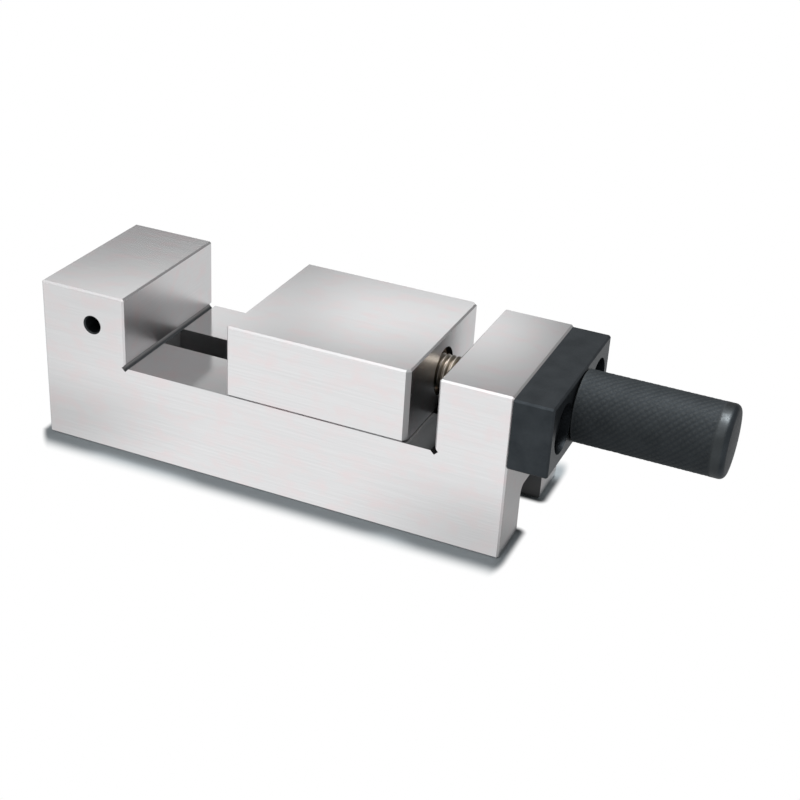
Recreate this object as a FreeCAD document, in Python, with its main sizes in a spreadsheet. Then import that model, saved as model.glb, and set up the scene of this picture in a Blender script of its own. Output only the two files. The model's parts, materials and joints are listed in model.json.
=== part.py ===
import FreeCAD, Part
import os
import re
import Sketcher

# Toolmakers vise, 50 mm wide, in millimetres.
# X runs from the fixed jaw to the handle, Y across the vise, Z up.
# The origin lies on the underside, on the centre line, below the clamping face of the fixed jaw.

SIZES = {
    "body_width": 50.0,
    "body_height": 49.7,
    "bed_height": 28.1,
    "fixed_jaw_length": 27.3,
    "bed_length": 96.3,
    "post_length": 20.6,
    "edge_break": 0.5,
    "relief_reach": 1.1,
    "slot_width": 11.2,
    "channel_width": 20.0,
    "channel_height": 15.0,
    "channel_start": 1.5,
    "channel_round": 2.5,
    "stop_hole_radius": 2.5,
    "stop_hole_depth": 14.0,
    "stop_hole_setback": 10.6,
    "stop_hole_height": 39.4,
    "stop_hole_break": 0.4,
    "jaw_opening": 33.2,
    "jaw_length": 54.8,
    "jaw_front_wall": 4.4,
    "jaw_rear_break": 1.2,
    "slide_gap": 0.03,
    "tongue_start": 3.0,
    "tongue_length": 34.0,
    "keeper_thickness": 8.0,
    "keeper_side_gap": 0.3,
    "keeper_screw_radius": 2.5,
    "keeper_screw_head_radius": 4.25,
    "keeper_screw_head_height": 5.0,
    "keeper_screw_length": 14.0,
    "keeper_screw_key": 4.0,
    "keeper_screw_margin": 7.5,
    "keeper_counterbore_radius": 4.6,
    "keeper_counterbore_depth": 5.4,
    "screw_below_middle": 0.15,
    "screw_radius": 5.0,
    "screw_reach": 50.3,
    "screw_tip_break": 0.8,
    "screw_room": 0.4,
    "nut_radius": 7.0,
    "nut_length": 18.0,
    "nut_recess": 1.0,
    "lock_screw_radius": 2.0,
    "lock_screw_length": 4.0,
    "lock_screw_key": 2.0,
    "lock_bite": 0.8,
    "lock_room": 0.05,
    "fastener_break": 0.4,
    "fastener_room": 0.3,
    "tap_runout": 2.0,
    "press_gap": 0.01,
    "running_gap": 0.04,
    "end_float": 0.02,
    "journal_radius": 6.0,
    "journal_inset": 1.0,
    "journal_break": 0.3,
    "collar_radius": 8.0,
    "collar_thickness": 4.0,
    "washer_thickness": 1.0,
    "washer_room": 0.1,
    "recess_gap": 0.3,
    "shank_radius": 5.0,
    "shank_grip": 26.0,
    "shank_runout": 0.5,
    "plate_thickness": 11.1,
    "plate_height": 20.7,
    "plate_screw_radius": 4.0,
    "plate_screw_head_radius": 6.5,
    "plate_screw_head_height": 5.0,
    "plate_screw_length": 16.0,
    "plate_screw_key": 5.0,
    "plate_screw_offset": 15.0,
    "plate_counterbore_radius": 7.0,
    "plate_counterbore_depth": 7.5,
    "handle_radius": 10.2,
    "handle_length": 41.5,
    "handle_gap": 0.3,
    "handle_end_break": 1.5,
    "pin_radius": 1.5,
    "pin_setback": 11.7,
    "pin_sunk": 0.4,
    "pin_angle": 60.0,
}

doc = FreeCAD.newDocument("toolmakers_vise")
sheet = doc.addObject("Spreadsheet::Sheet", "sizes")
for row, (alias, number) in enumerate(SIZES.items(), start=1):
    sheet.set("A%d" % row, alias)
    sheet.set("B%d" % row, str(number))
    sheet.setAlias("B%d" % row, alias)
doc.recompute()

# Places that several pieces share, each worked out from the sizes.
PLACES = {
    "screw_height": "((bed_height + body_height) / 2 - screw_below_middle)",
    "post_rear": "(bed_length + post_length)",
    "plate_rear": "(bed_length + post_length + plate_thickness)",
    "jaw_floor": "(bed_height + slide_gap)",
    "keeper_top": "(channel_height - slide_gap)",
    "recess_depth": "(2 * washer_thickness + collar_thickness + 2 * end_float)",
    "journal_bore": "(journal_radius + running_gap)",
    "collar_bore": "(collar_radius + recess_gap)",
}


def on_sheet(text):
    """The expression with each shared place written out and each size read from the sheet."""
    for name, meaning in PLACES.items():
        text = re.sub(r"\b%s\b" % name, meaning, text)
    return re.sub(r"\b[a-z]+(?:_[a-z]+)+\b", lambda word: "sizes." + word.group(0), text)


def number(text):
    """The present value of an expression in the sheet's sizes."""
    found = sheet.evalExpression(on_sheet(text))
    return float(getattr(found, "Value", found))


def bind(thing, field, text):
    thing.setExpression(field, on_sheet(text))


def new_body(label, x="0", y="0", z="0", turn=None):
    """A body with its own origin at x, y, z, turned by (axis, degrees) if turn is given."""
    body = doc.addObject("PartDesign::Body", label)
    body.Label = label
    if turn is not None:
        body.Placement = FreeCAD.Placement(FreeCAD.Vector(), FreeCAD.Rotation(*turn))
    bind(body, "Placement.Base.x", x)
    bind(body, "Placement.Base.y", y)
    bind(body, "Placement.Base.z", z)
    return body


def new_sketch(body, name, plane, offset="0"):
    """A sketch on one of the body's origin planes, moved along the plane's normal by offset."""
    sketch = body.newObject("Sketcher::SketchObject", name)
    support = [f for f in body.Origin.OriginFeatures if f.Role == plane][0]
    sketch.AttachmentSupport = (support, [""])
    sketch.MapMode = "FlatFace"
    bind(sketch, "AttachmentOffset.Base.z", offset)
    return sketch


def fix(sketch, kind, *where, to):
    """A driving dimension of the sketch, bound to the sheet."""
    index = sketch.addConstraint(Sketcher.Constraint(kind, *where, number(to)))
    bind(sketch, "Constraints[%d]" % index, to)


def add_outline(sketch, corners):
    """A closed outline of straight lines, each corner measured from the sketch's origin."""
    first = sketch.GeometryCount
    points = [FreeCAD.Vector(number(u), number(v), 0) for u, v in corners]
    count = len(corners)
    for i in range(count):
        sketch.addGeometry(Part.LineSegment(points[i], points[(i + 1) % count]), False)
    for i in range(count):
        follower = first + (i + 1) % count
        sketch.addConstraint(Sketcher.Constraint("Coincident", first + i, 2, follower, 1))
    for i, (u, v) in enumerate(corners):
        fix(sketch, "DistanceX", -1, 1, first + i, 1, to=u)
        fix(sketch, "DistanceY", -1, 1, first + i, 1, to=v)


def add_circle(sketch, u, v, radius):
    """A circle whose centre is measured from the sketch's origin."""
    index = sketch.GeometryCount
    centre = FreeCAD.Vector(number(u), number(v), 0)
    sketch.addGeometry(Part.Circle(centre, FreeCAD.Vector(0, 0, 1), number(radius)), False)
    fix(sketch, "DistanceX", -1, 1, index, 3, to=u)
    fix(sketch, "DistanceY", -1, 1, index, 3, to=v)
    fix(sketch, "Radius", index, to=radius)


def rectangle(left, low, right, high):
    return [(left, low), (right, low), (right, high), (left, high)]


def hexagon(flats):
    """The corners of a hexagonal socket, from the width across its flats."""
    out, half, side = "%s / sqrt(3)", "%s / (2 * sqrt(3))", "%s / 2"
    shape = [(out, "0"), (half, side), ("-" + half, side)]
    shape += [("-" + out, "0"), ("-" + half, "-" + side), (half, "-" + side)]
    return [tuple(f % flats if "%" in f else f for f in corner) for corner in shape]


def pad(sketch, name, length, both_sides=False, reverse=False):
    feature = sketch.getParentGeoFeatureGroup().newObject("PartDesign::Pad", name)
    feature.Profile = sketch
    feature.SideType = "Symmetric" if both_sides else "One side"
    feature.Reversed = reverse
    bind(feature, "Length", length)
    sketch.Visibility = False
    doc.recompute()
    return feature


def pocket(sketch, name, length, both_sides=False, reverse=False):
    """Cuts the sketch out of its body, and stops if nothing comes off."""
    body = sketch.getParentGeoFeatureGroup()
    before = body.Shape.Volume
    feature = body.newObject("PartDesign::Pocket", name)
    feature.Profile = sketch
    feature.SideType = "Symmetric" if both_sides else "One side"
    feature.Reversed = reverse
    bind(feature, "Length", length)
    sketch.Visibility = False
    doc.recompute()
    if body.Shape.Volume > before - 0.01:
        raise RuntimeError("%s cuts nothing" % name)
    return feature


def drill(sketch, name, radius, length, reverse=False, sink_radius=None, sink_depth=None):
    """Holes at the sketch's circles, with a counterbore where sink_radius is given."""
    body = sketch.getParentGeoFeatureGroup()
    before = body.Shape.Volume
    feature = body.newObject("PartDesign::Hole", name)
    feature.Profile = sketch
    feature.ThreadType = "None"
    feature.DepthType = "Dimension"
    feature.DrillPoint = "Flat"
    feature.Reversed = reverse
    bind(feature, "Diameter", "2 * " + radius)
    bind(feature, "Depth", length)
    if sink_radius is not None:
        feature.HoleCutType = "Counterbore"
        feature.HoleCutCustomValues = True
        bind(feature, "HoleCutDiameter", "2 * " + sink_radius)
        bind(feature, "HoleCutDepth", sink_depth)
    sketch.Visibility = False
    doc.recompute()
    if body.Shape.Volume > before - 0.01:
        raise RuntimeError("%s cuts nothing" % name)
    return feature


def revolve(sketch, name, axis):
    feature = sketch.getParentGeoFeatureGroup().newObject("PartDesign::Revolution", name)
    feature.Profile = sketch
    feature.ReferenceAxis = (sketch, [axis])
    feature.Angle = 360
    sketch.Visibility = False
    doc.recompute()
    return feature


def break_edges(body, name, size, wanted, round_over=False):
    """A chamfer, or a fillet, on the edges of the body's present shape that wanted accepts."""
    base = body.Tip
    names = ["Edge%d" % (i + 1) for i, edge in enumerate(base.Shape.Edges) if wanted(edge)]
    if not names:
        raise RuntimeError("%s finds no edge" % name)
    kind = "PartDesign::Fillet" if round_over else "PartDesign::Chamfer"
    feature = body.newObject(kind, name)
    feature.Base = (base, names)
    bind(feature, "Radius" if round_over else "Size", size)
    doc.recompute()
    return feature


def curve_of(edge):
    """The edge's curve, or None where it has shrunk to a point."""
    try:
        return edge.Curve
    except TypeError:
        return None


def straight(edge, x=None, y=None, z=None):
    """Whether a straight edge lies wholly at the given coordinates of its body."""
    if not isinstance(curve_of(edge), Part.Line):
        return False
    ends = [end.Point for end in edge.Vertexes]
    for axis, wanted in enumerate((x, y, z)):
        if wanted is None:
            continue
        if not any(all(abs(end[axis] - w) < 1e-4 for end in ends) for w in wanted):
            return False
    return True


def round_at(edge, radius, x, y):
    """Whether a round edge has the given radius, and its centre at x and y."""
    curve = curve_of(edge)
    if not isinstance(curve, Part.Circle) or abs(curve.Radius - radius) > 1e-4:
        return False
    return abs(curve.Center.x - x) < 1e-4 and abs(curve.Center.y - y) < 1e-4


# One ground block: fixed jaw, bed and rear post.
def make_vise_body():
    body = new_body("vise_body")
    side = new_sketch(body, "body_side", "XZ_Plane")
    add_outline(side, [
        ("-fixed_jaw_length", "0"),
        ("post_rear", "0"),
        ("post_rear", "body_height"),
        ("bed_length", "body_height"),
        ("bed_length", "bed_height"),
        ("0", "bed_height"),
        ("0", "body_height"),
        ("-fixed_jaw_length", "body_height"),
    ])
    pad(side, "body_block", "body_width", both_sides=True)

    ends = (number("-fixed_jaw_length"), 0.0, number("bed_length"), number("post_rear"))
    sides = (-number("body_width / 2"), number("body_width / 2"))
    levels = (0.0, number("body_height"))
    break_edges(body, "body_edges", "edge_break", lambda edge: (
        straight(edge, y=sides, z=levels)
        or straight(edge, x=ends, z=levels)
        or straight(edge, x=ends, y=sides)
    ))

    # The grinding reliefs run along both inside corners of the bed.
    relief = new_sketch(body, "relief_side", "XZ_Plane")
    for corner in ("0", "bed_length"):
        add_outline(relief, [
            (corner + " - relief_reach", "bed_height"),
            (corner, "bed_height - relief_reach"),
            (corner + " + relief_reach", "bed_height"),
            (corner, "bed_height + relief_reach"),
        ])
    pocket(relief, "corner_reliefs", "body_width + 2 * edge_break", both_sides=True)

    # A wide channel from below, open at the rear, and a narrower slot in the bed above it.
    end_view = new_sketch(body, "channel_end", "YZ_Plane", "channel_start")
    add_outline(end_view, rectangle(
        "-channel_width / 2", "-edge_break", "channel_width / 2", "channel_height"))
    pocket(end_view, "channel", "post_rear - channel_start", reverse=True)
    walls = (-number("channel_width / 2"), number("channel_width / 2"))
    roof = (number("channel_height"),)
    break_edges(body, "channel_corners", "channel_round",
                lambda edge: straight(edge, y=walls, z=roof), round_over=True)
    slot = new_sketch(body, "slot_top", "XY_Plane", "bed_height")
    add_outline(slot, rectangle("0", "-slot_width / 2", "bed_length", "slot_width / 2"))
    pocket(slot, "bed_slot", "bed_height - channel_height")

    # The spindle's bearing, its thrust recess and the tapped holes of the retainer plate.
    bearing = new_sketch(body, "bearing_end", "YZ_Plane", "post_rear")
    add_circle(bearing, "0", "screw_height", "journal_bore")
    drill(bearing, "bearing_bore", "journal_bore", "post_length",
          sink_radius="collar_bore", sink_depth="recess_depth")
    tapped = new_sketch(body, "tapped_end", "YZ_Plane", "post_rear")
    for across in ("-plate_screw_offset", "plate_screw_offset"):
        add_circle(tapped, across, "screw_height", "plate_screw_radius")
    drill(tapped, "tapped_holes", "plate_screw_radius",
          "plate_screw_length - plate_thickness + plate_counterbore_depth + tap_runout")

    # The tapped hole for a work stop, on the near side of the fixed jaw.
    stop = new_sketch(body, "stop_side", "XZ_Plane", "body_width / 2")
    add_circle(stop, "-stop_hole_setback", "stop_hole_height", "stop_hole_radius")
    drill(stop, "stop_hole", "stop_hole_radius", "stop_hole_depth")
    mouth = number("stop_hole_radius")
    near = -number("body_width / 2")
    break_edges(body, "stop_hole_mouth", "stop_hole_break",
                lambda edge: round_at(edge, mouth, -number("stop_hole_setback"), near))
    return body


# The sliding jaw. Its own origin is at the clamping face, on the bed.
def make_movable_jaw():
    body = new_body("movable_jaw", "jaw_opening", "0", "jaw_floor")
    plan = new_sketch(body, "jaw_plan", "XY_Plane")
    half = "body_width / 2"
    add_outline(plan, [
        ("0", "-" + half),
        ("jaw_length - jaw_rear_break", "-" + half),
        ("jaw_length", "jaw_rear_break - " + half),
        ("jaw_length", half + " - jaw_rear_break"),
        ("jaw_length - jaw_rear_break", half),
        ("0", half),
    ])
    top = "body_height - jaw_floor"
    pad(plan, "jaw_block", top)
    levels = (0.0, number(top))
    front = (0.0,)
    sides = (-number(half), number(half))
    break_edges(body, "jaw_edges", "edge_break",
                lambda edge: straight(edge, z=levels) or straight(edge, x=front, y=sides))

    tongue = new_sketch(body, "tongue_top", "XY_Plane")
    cheek = "(slot_width / 2 - slide_gap)"
    add_outline(tongue, rectangle(
        "tongue_start", "-" + cheek, "tongue_start + tongue_length", cheek))
    pad(tongue, "tongue", "jaw_floor - keeper_top", reverse=True)

    # From the rear face: the nut's seat, then room for the end of the screw.
    bore = new_sketch(body, "jaw_bore_end", "YZ_Plane", "jaw_length")
    add_circle(bore, "0", "screw_height - jaw_floor", "screw_radius + screw_room")
    drill(bore, "jaw_bore", "(screw_radius + screw_room)", "jaw_length - jaw_front_wall",
          sink_radius="nut_radius", sink_depth="nut_length + nut_recess")

    # The tapped hole for the nut's lock screw, from the jaw's underside.
    lock = new_sketch(body, "lock_under", "XY_Plane")
    add_circle(lock, "jaw_length - nut_recess - nut_length / 2", "0", "lock_screw_radius")
    drill(lock, "lock_hole", "lock_screw_radius", "screw_height - jaw_floor", reverse=True)

    # The tapped holes for the keeper's screws, from the tongue's underside.
    tapped = new_sketch(body, "keeper_under", "XY_Plane", "keeper_top - jaw_floor")
    for along in ("tongue_start + keeper_screw_margin",
                  "tongue_start + tongue_length - keeper_screw_margin"):
        add_circle(tapped, along, "0", "keeper_screw_radius")
    drill(tapped, "keeper_holes", "keeper_screw_radius",
          "keeper_screw_length - keeper_thickness + keeper_counterbore_depth + tap_runout",
          reverse=True)
    return body


# The plate under the bed that holds the jaw down. It is screwed up against the tongue.
def make_keeper_plate():
    body = new_body("keeper_plate", "jaw_opening + tongue_start + tongue_length / 2", "0",
                    "keeper_top")
    top = new_sketch(body, "keeper_top_view", "XY_Plane")
    half = "(channel_width / 2 - keeper_side_gap)"
    add_outline(top, rectangle("-tongue_length / 2", "-" + half, "tongue_length / 2", half))
    pad(top, "keeper_block", "keeper_thickness", reverse=True)
    level = (0.0,)
    wall = (-number(half), number(half))
    break_edges(body, "keeper_corners", "channel_round",
                lambda edge: straight(edge, y=wall, z=level))
    low = (-number("keeper_thickness"),)
    ends = (-number("tongue_length / 2"), number("tongue_length / 2"))
    break_edges(body, "keeper_edges", "edge_break",
                lambda edge: straight(edge, y=wall, z=low) or straight(edge, x=ends, z=low))
    holes = new_sketch(body, "keeper_hole_view", "XY_Plane", "-keeper_thickness")
    for along in ("keeper_screw_margin - tongue_length / 2",
                  "tongue_length / 2 - keeper_screw_margin"):
        add_circle(holes, along, "0", "keeper_screw_radius + fastener_room")
    drill(holes, "keeper_screw_holes", "(keeper_screw_radius + fastener_room)",
          "keeper_thickness", reverse=True, sink_radius="keeper_counterbore_radius",
          sink_depth="keeper_counterbore_depth")
    return body


def cap_screw(label, radius, head_radius, head_height, length, key, place, turn):
    """A socket head cap screw. Its own origin is under the head, and its shank points down."""
    body = new_body(label, *place, turn=turn)
    profile = new_sketch(body, label + "_profile", "XZ_Plane")
    add_outline(profile, [
        ("0", "-" + length),
        (radius + " - fastener_break", "-" + length),
        (radius, "fastener_break - " + length),
        (radius, "0"),
        (head_radius, "0"),
        (head_radius, head_height + " - fastener_break"),
        (head_radius + " - fastener_break", head_height),
        ("0", head_height),
    ])
    revolve(profile, label + "_turned", "V_Axis")
    socket = new_sketch(body, label + "_socket", "XY_Plane", head_height)
    add_outline(socket, hexagon(key))
    pocket(socket, label + "_key", head_height + " / 2")
    return body


def mirrored_pair(label, screw, normal, middle):
    """The screw and its mirror image as one node, mirrored in the plane at middle."""
    twin = doc.addObject("Part::Mirroring", label + "_twin")
    twin.Source = screw
    twin.Normal = normal
    bind(twin, "Base.x", middle)
    pair = doc.addObject("Part::Compound", label)
    pair.Label = label
    pair.Links = [screw, twin]
    doc.recompute()
    return pair


def make_keeper_screws():
    middle = "jaw_opening + tongue_start + tongue_length / 2"
    along = middle + " - tongue_length / 2 + keeper_screw_margin"
    seat = "keeper_top - keeper_thickness + keeper_counterbore_depth"
    screw = cap_screw("keeper_screw", "keeper_screw_radius", "keeper_screw_head_radius",
                      "keeper_screw_head_height", "keeper_screw_length", "keeper_screw_key",
                      (along, "0", seat), (FreeCAD.Vector(1, 0, 0), 180))
    return mirrored_pair("keeper_screws", screw, FreeCAD.Vector(1, 0, 0), middle)


def make_plate_screws():
    seat = "plate_rear - plate_counterbore_depth"
    screw = cap_screw("plate_screw", "plate_screw_radius", "plate_screw_head_radius",
                      "plate_screw_head_height", "plate_screw_length", "plate_screw_key",
                      (seat, "plate_screw_offset", "screw_height"),
                      (FreeCAD.Vector(0, 1, 0), 90))
    return mirrored_pair("plate_screws", screw, FreeCAD.Vector(0, 1, 0), "0")


# The bronze nut in the jaw. Its own origin is at its rear face, on the screw's axis.
def make_jaw_nut():
    body = new_body("jaw_nut", "jaw_opening + jaw_length - nut_recess", "0", "screw_height")
    profile = new_sketch(body, "nut_profile", "XZ_Plane")
    inner = "screw_radius + running_gap"
    outer = "nut_radius - press_gap"
    add_outline(profile, [
        ("-nut_length", inner + " + edge_break"),
        ("-nut_length", outer + " - edge_break"),
        ("-nut_length + edge_break", outer),
        ("0", outer),
        ("0", inner + " + edge_break"),
        ("-edge_break", inner),
        ("-nut_length + edge_break", inner),
    ])
    revolve(profile, "nut_turned", "H_Axis")
    dimple = new_sketch(body, "nut_dimple_view", "XY_Plane", "-nut_radius")
    add_circle(dimple, "-nut_length / 2", "0", "lock_screw_radius + lock_room")
    pocket(dimple, "nut_dimple", "lock_bite + lock_room", reverse=True)
    return body


# The grub screw that keeps the nut from turning. Its own origin is at its upper tip.
def make_lock_screw():
    body = new_body("nut_lock_screw",
                    "jaw_opening + jaw_length - nut_recess - nut_length / 2", "0",
                    "screw_height - nut_radius + lock_bite")
    profile = new_sketch(body, "lock_profile", "XZ_Plane")
    add_outline(profile, [
        ("0", "0"),
        ("lock_screw_radius - fastener_break", "0"),
        ("lock_screw_radius", "-fastener_break"),
        ("lock_screw_radius", "-lock_screw_length"),
        ("0", "-lock_screw_length"),
    ])
    revolve(profile, "lock_turned", "V_Axis")
    socket = new_sketch(body, "lock_socket", "XY_Plane", "-lock_screw_length")
    add_outline(socket, hexagon("lock_screw_key"))
    pocket(socket, "lock_key", "lock_screw_length / 2", reverse=True)
    return body


# The screw spindle, turned from one bar. Its own origin is at the rear face of the post.
def make_spindle():
    body = new_body("spindle", "post_rear", "0", "screw_height")
    profile = new_sketch(body, "spindle_profile", "XZ_Plane")
    tip = "-post_length - screw_reach"
    journal = "-post_length + journal_inset"
    collar_rear = "-washer_thickness - end_float"
    collar_front = collar_rear + " - collar_thickness"
    end = "plate_thickness + handle_gap + shank_grip"
    add_outline(profile, [
        (tip, "0"),
        (tip, "screw_radius - screw_tip_break"),
        (tip + " + screw_tip_break", "screw_radius"),
        (journal, "screw_radius"),
        (journal, "journal_radius - journal_break"),
        (journal + " + journal_break", "journal_radius"),
        (collar_front, "journal_radius"),
        (collar_front, "collar_radius"),
        (collar_rear, "collar_radius"),
        (collar_rear, "shank_radius"),
        (end + " - edge_break", "shank_radius"),
        (end, "shank_radius - edge_break"),
        (end, "0"),
    ])
    revolve(profile, "spindle_turned", "H_Axis")
    hole = new_sketch(body, "spindle_pin_view", "XZ_Plane")
    add_circle(hole, "plate_thickness + handle_gap + pin_setback", "0", "pin_radius")
    pocket(hole, "spindle_pin_hole", "4 * shank_radius", both_sides=True)
    bind(body, "Placement.Rotation.Angle", "pin_angle")
    body.Placement.Rotation.Axis = FreeCAD.Vector(1, 0, 0)
    return body


def thrust_washer(label, rear, inner):
    """A washer beside the spindle's collar. Its own origin is at its rear face."""
    body = new_body(label, rear, "0", "screw_height")
    ring = new_sketch(body, label + "_ring", "YZ_Plane")
    add_circle(ring, "0", "0", "collar_radius")
    add_circle(ring, "0", "0", inner + " + washer_room")
    pad(ring, label + "_disc", "washer_thickness", reverse=True)
    return body


# The plate that closes the thrust recess. Its own origin is at the post, on the screw's axis.
def make_retainer_plate():
    body = new_body("retainer_plate", "post_rear", "0", "screw_height")
    face = new_sketch(body, "plate_face", "YZ_Plane")
    half_width, half_height = "body_width / 2", "plate_height / 2"
    add_outline(face, rectangle("-" + half_width, "-" + half_height, half_width, half_height))
    pad(face, "plate_block", "plate_thickness")
    rear = (number("plate_thickness"),)
    sides = (-number(half_width), number(half_width))
    levels = (-number(half_height), number(half_height))
    break_edges(body, "plate_edges", "edge_break", lambda edge: (
        straight(edge, x=rear, z=levels)
        or straight(edge, x=rear, y=sides)
        or straight(edge, y=sides, z=levels)
    ))
    shaft = new_sketch(body, "plate_bore_view", "YZ_Plane", "plate_thickness")
    add_circle(shaft, "0", "0", "shank_radius + running_gap")
    drill(shaft, "plate_bore", "(shank_radius + running_gap)", "plate_thickness")
    holes = new_sketch(body, "plate_hole_view", "YZ_Plane", "plate_thickness")
    for across in ("-plate_screw_offset", "plate_screw_offset"):
        add_circle(holes, across, "0", "plate_screw_radius + fastener_room")
    drill(holes, "plate_screw_holes", "(plate_screw_radius + fastener_room)",
          "plate_thickness",
          sink_radius="plate_counterbore_radius", sink_depth="plate_counterbore_depth")
    return body


# The round grip. Its own origin is at its front end, on the screw's axis.
def make_handle():
    body = new_body("handle", "plate_rear + handle_gap", "0", "screw_height")
    profile = new_sketch(body, "handle_profile", "XZ_Plane")
    seat = "shank_radius + press_gap"
    bottom = "shank_grip + shank_runout"
    add_outline(profile, [
        ("0", seat),
        ("0", "handle_radius - edge_break"),
        ("edge_break", "handle_radius"),
        ("handle_length - handle_end_break", "handle_radius"),
        ("handle_length", "handle_radius - handle_end_break"),
        ("handle_length", "0"),
        (bottom, "0"),
        (bottom, seat),
    ])
    revolve(profile, "handle_turned", "H_Axis")
    hole = new_sketch(body, "handle_pin_view", "XZ_Plane")
    add_circle(hole, "pin_setback", "0", "pin_radius")
    pocket(hole, "handle_pin_hole", "4 * handle_radius", both_sides=True)
    bind(body, "Placement.Rotation.Angle", "pin_angle")
    body.Placement.Rotation.Axis = FreeCAD.Vector(1, 0, 0)
    return body


# The pin through handle and spindle. Its own origin is at its middle.
def make_handle_pin():
    body = new_body("handle_pin", "plate_rear + handle_gap + pin_setback", "0", "screw_height")
    profile = new_sketch(body, "pin_profile", "XY_Plane")
    half = "(handle_radius - pin_sunk)"
    add_outline(profile, [
        ("0", "-" + half),
        ("pin_radius - fastener_break", "-" + half),
        ("pin_radius", "fastener_break - " + half),
        ("pin_radius", half + " - fastener_break"),
        ("pin_radius - fastener_break", half),
        ("0", half),
    ])
    revolve(profile, "pin_turned", "V_Axis")
    bind(body, "Placement.Rotation.Angle", "pin_angle")
    body.Placement.Rotation.Axis = FreeCAD.Vector(1, 0, 0)
    return body


nodes = [
    make_vise_body(),
    make_movable_jaw(),
    make_jaw_nut(),
    make_lock_screw(),
    make_keeper_plate(),
    make_keeper_screws(),
    make_spindle(),
    thrust_washer("front_thrust_washer", "post_rear - recess_depth + washer_thickness",
                  "journal_radius"),
    thrust_washer("rear_thrust_washer", "post_rear", "shank_radius"),
    make_retainer_plate(),
    make_plate_screws(),
    make_handle(),
    make_handle_pin(),
]
doc.recompute()

for thing in doc.Objects:
    if "Invalid" in thing.State or "Error" in thing.State:
        raise RuntimeError("%s did not build" % thing.Name)
os.makedirs("parts", exist_ok=True)
for node in nodes:
    if node.Shape.isNull() or not node.Shape.isValid():
        raise RuntimeError("%s has no valid shape" % node.Label)
    node.Shape.exportStep("parts/%s.step" % node.Label)
    print("%-22s %8.1f mm3, %d solid(s)" % (node.Label, node.Shape.Volume, len(node.Shape.Solids)))
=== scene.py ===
"""Finishes for the toolmakers vise, its knurled handle and threaded screw, and a small studio."""
import json
import math

import bmesh
import bpy
from bpy.props import FloatProperty, FloatVectorProperty, IntProperty, PointerProperty
from mathutils import Euler, Matrix, Vector


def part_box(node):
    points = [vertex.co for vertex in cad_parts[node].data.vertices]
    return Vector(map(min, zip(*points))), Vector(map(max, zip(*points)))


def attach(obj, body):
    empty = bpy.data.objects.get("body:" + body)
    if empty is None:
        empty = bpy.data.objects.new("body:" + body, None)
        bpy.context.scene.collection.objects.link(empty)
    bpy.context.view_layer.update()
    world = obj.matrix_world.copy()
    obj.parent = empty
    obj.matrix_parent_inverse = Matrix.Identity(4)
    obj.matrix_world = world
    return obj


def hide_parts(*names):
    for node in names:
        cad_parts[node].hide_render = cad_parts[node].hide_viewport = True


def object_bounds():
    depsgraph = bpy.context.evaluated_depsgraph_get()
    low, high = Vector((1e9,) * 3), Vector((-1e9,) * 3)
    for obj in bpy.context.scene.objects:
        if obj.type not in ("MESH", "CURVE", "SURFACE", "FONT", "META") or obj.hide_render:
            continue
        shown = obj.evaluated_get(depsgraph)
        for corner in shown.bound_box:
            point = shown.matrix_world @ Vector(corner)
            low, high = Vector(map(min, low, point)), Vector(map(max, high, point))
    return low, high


bl_info = {
    "name": "Toolmakers Vise",
    "version": (1, 0, 0),
    "blender": (4, 5, 0),
    "location": "View3D > Sidebar > Vise",
    "description": "Finishes for a ground steel vise, with its knurled handle and its threaded screw",
    "category": "Object",
}

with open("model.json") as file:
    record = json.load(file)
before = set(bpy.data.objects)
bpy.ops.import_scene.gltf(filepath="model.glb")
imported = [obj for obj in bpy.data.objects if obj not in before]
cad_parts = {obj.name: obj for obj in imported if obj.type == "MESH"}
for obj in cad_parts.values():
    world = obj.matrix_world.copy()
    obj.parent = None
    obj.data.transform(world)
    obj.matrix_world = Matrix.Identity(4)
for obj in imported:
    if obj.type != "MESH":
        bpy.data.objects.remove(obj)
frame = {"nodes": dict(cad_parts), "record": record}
cad_low, cad_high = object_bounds()
nodes = frame["nodes"]
record = frame["record"]

MM = 0.001

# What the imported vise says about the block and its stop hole, the handle, and the screw's axis and pitch
BLOCK_LOW, BLOCK_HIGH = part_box("vise_body")
HANDLE_LOW, HANDLE_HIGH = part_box("handle")
SPINDLE_LOW, SPINDLE_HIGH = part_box("spindle")
SCREW_Z = (HANDLE_LOW.z + HANDLE_HIGH.z) / 2
PITCH = 2 * math.pi / record["behaviour"]["couplings"][0]["ratio"]
STOP_HOLE = record["mounts"][-1]["pos_m"]

# Sizes of the ground pieces that their finish follows, as in the part's source
BED_HEIGHT = 28.1 * MM
POST_LENGTH = 20.6 * MM
POST_REAR = BLOCK_HIGH.x
POST_FRONT = POST_REAR - POST_LENGTH
RELIEF_REACH = 1.1 * MM
SLOT_HALF = 5.6 * MM
CHANNEL_HALF = 10.0 * MM
CHANNEL_HEIGHT = 15.0 * MM
WIDEST_BORE = 8.3 * MM
JAW_REAR = 88.0 * MM
JAW_REAR_BREAK = 1.2 * MM
STOP_HOLE_MOUTH = 2.9 * MM

# The wheel runs out over this stretch of the bed before the post, which is also painted dark as the shade
# in the gap behind the jaw.
RUN_OUT_SHADE_START = 86.0 * MM
RUN_OUT_SHADE_END = 89.0 * MM

# How far off its face a point may seem to lie, and how far a finish reaches past a relief, the wall of
# a cut and the end of a cut
ON_FACE = 0.02 * MM
PAST_RELIEF = 0.03 * MM
PAST_CUT = 0.05 * MM
PAST_END = 0.1 * MM

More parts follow.
